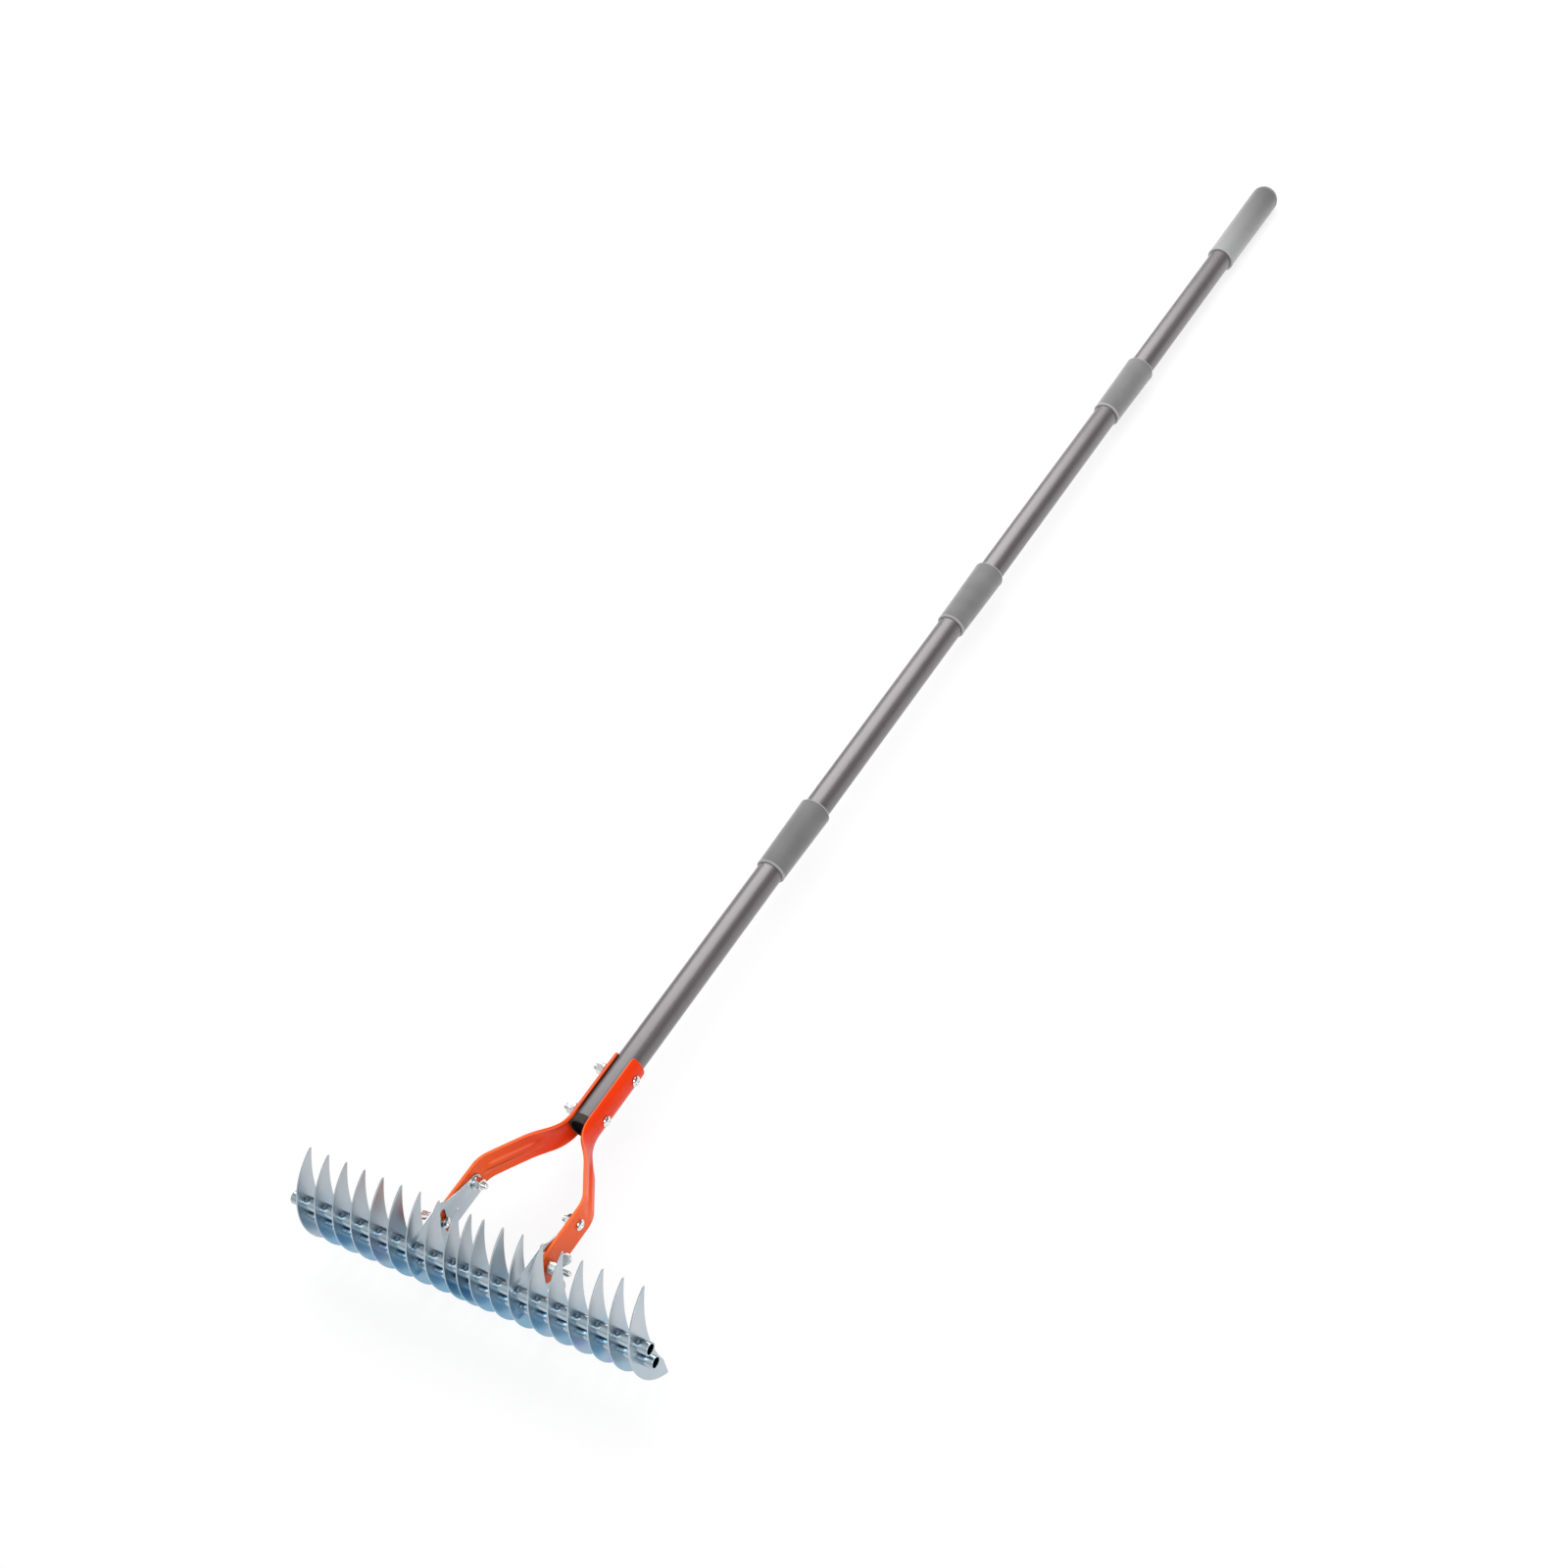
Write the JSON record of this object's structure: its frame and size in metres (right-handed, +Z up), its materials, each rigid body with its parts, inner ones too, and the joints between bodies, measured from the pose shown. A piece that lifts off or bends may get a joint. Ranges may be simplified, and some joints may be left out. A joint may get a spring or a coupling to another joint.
{
  "type": "thatch rake",
  "caption": "Lawn thatch rake with crescent blades on twin crossbars, a tilting head on a red two-arm yoke, and a long grey tube handle in screwed sections.",
  "frame": {"origin": "middle of the bounding box at floor level, with the rake lying on its blade corners and its grip", "axes": "+Y along the floor from the head to the grip, +Z up, X along the head"},
  "size_m": [0.373, 1.6496, 0.1113],
  "materials": {
    "zinc": "zinc plated, satin",
    "bright_zinc": "zinc plated, bright",
    "red_paint": "powder coat, semi-gloss",
    "grey_tube": "satin",
    "grey_plastic": "matte",
    "insert_plastic": "matte",
    "black_plastic": "matte"
  },
  "bodies": {
    "yoke_and_handle": {"handle_tube_1": "grey_tube", "handle_tube_2": "grey_tube", "handle_tube_3": "grey_tube", "handle_tube_4": "grey_tube", "joint_sleeve_1": "grey_plastic", "joint_sleeve_2": "grey_plastic", "joint_sleeve_3": "grey_plastic", "male_insert_1": "insert_plastic", "male_insert_2": "insert_plastic", "male_insert_3": "insert_plastic", "female_insert_1": "insert_plastic", "female_insert_2": "insert_plastic", "female_insert_3": "insert_plastic", "end_plug": "black_plastic", "grip": "grey_plastic", "left_arm": "red_paint", "right_arm": "red_paint", "upper_clamp_bolt": "bright_zinc", "lower_clamp_bolt": "bright_zinc", "left_pivot_bolt": "bright_zinc", "right_pivot_bolt": "bright_zinc", "left_slot_bolt": "bright_zinc", "right_slot_bolt": "bright_zinc", "upper_clamp_washer": "bright_zinc", "lower_clamp_washer": "bright_zinc", "left_pivot_washer": "bright_zinc", "right_pivot_washer": "bright_zinc", "upper_clamp_nut": "bright_zinc", "lower_clamp_nut": "bright_zinc", "left_pivot_nut": "bright_zinc", "right_pivot_nut": "bright_zinc"},
    "head": {"upper_crossbar": "zinc", "lower_crossbar": "zinc", "blade_01": "zinc", "blade_02": "zinc", "blade_03": "zinc", "blade_04": "zinc", "blade_05": "zinc", "blade_06": "zinc", "left_bracket_blade": "zinc", "blade_08": "zinc", "blade_09": "zinc", "blade_10": "zinc", "blade_11": "zinc", "blade_12": "zinc", "right_bracket_blade": "zinc", "blade_14": "zinc", "blade_15": "zinc", "blade_16": "zinc", "blade_17": "zinc", "blade_18": "zinc", "blade_19": "zinc"},
    "left_slot_washer": {"left_slot_washer": "bright_zinc"},
    "left_slot_wing_nut": {"left_slot_wing_nut": "bright_zinc"},
    "right_slot_washer": {"right_slot_washer": "bright_zinc"},
    "right_slot_wing_nut": {"right_slot_wing_nut": "bright_zinc"}
  },
  "joints": [
    {"name": "head_tilt", "type": "hinge", "parent": "yoke_and_handle", "child": "head", "pos_m": [0, -0.72822, 0.05508], "axis": [1, 0, 0], "range_deg": [-14, 14]},
    {"name": "left_washer_slide", "type": "slide", "parent": "yoke_and_handle", "child": "left_slot_washer", "axis": [-1, 0, 0], "range_m": [0, 0.003]},
    {"name": "left_wing_nut_turn", "type": "hinge", "parent": "left_slot_washer", "child": "left_slot_wing_nut", "pos_m": [0, -0.77321, 0.05613], "axis": [-1, 0, 0], "range_deg": [0, 1080]},
    {"name": "right_washer_slide", "type": "slide", "parent": "yoke_and_handle", "child": "right_slot_washer", "axis": [1, 0, 0], "range_m": [0, 0.003]},
    {"name": "right_wing_nut_turn", "type": "hinge", "parent": "right_slot_washer", "child": "right_slot_wing_nut", "pos_m": [0, -0.77321, 0.05613], "axis": [1, 0, 0], "range_deg": [0, 1080]}
  ],
  "couplings": [
    {"joint": "left_wing_nut_turn", "follows": "left_washer_slide", "rad_per_m": 6283.2},
    {"joint": "right_wing_nut_turn", "follows": "right_washer_slide", "rad_per_m": 6283.2}
  ]
}
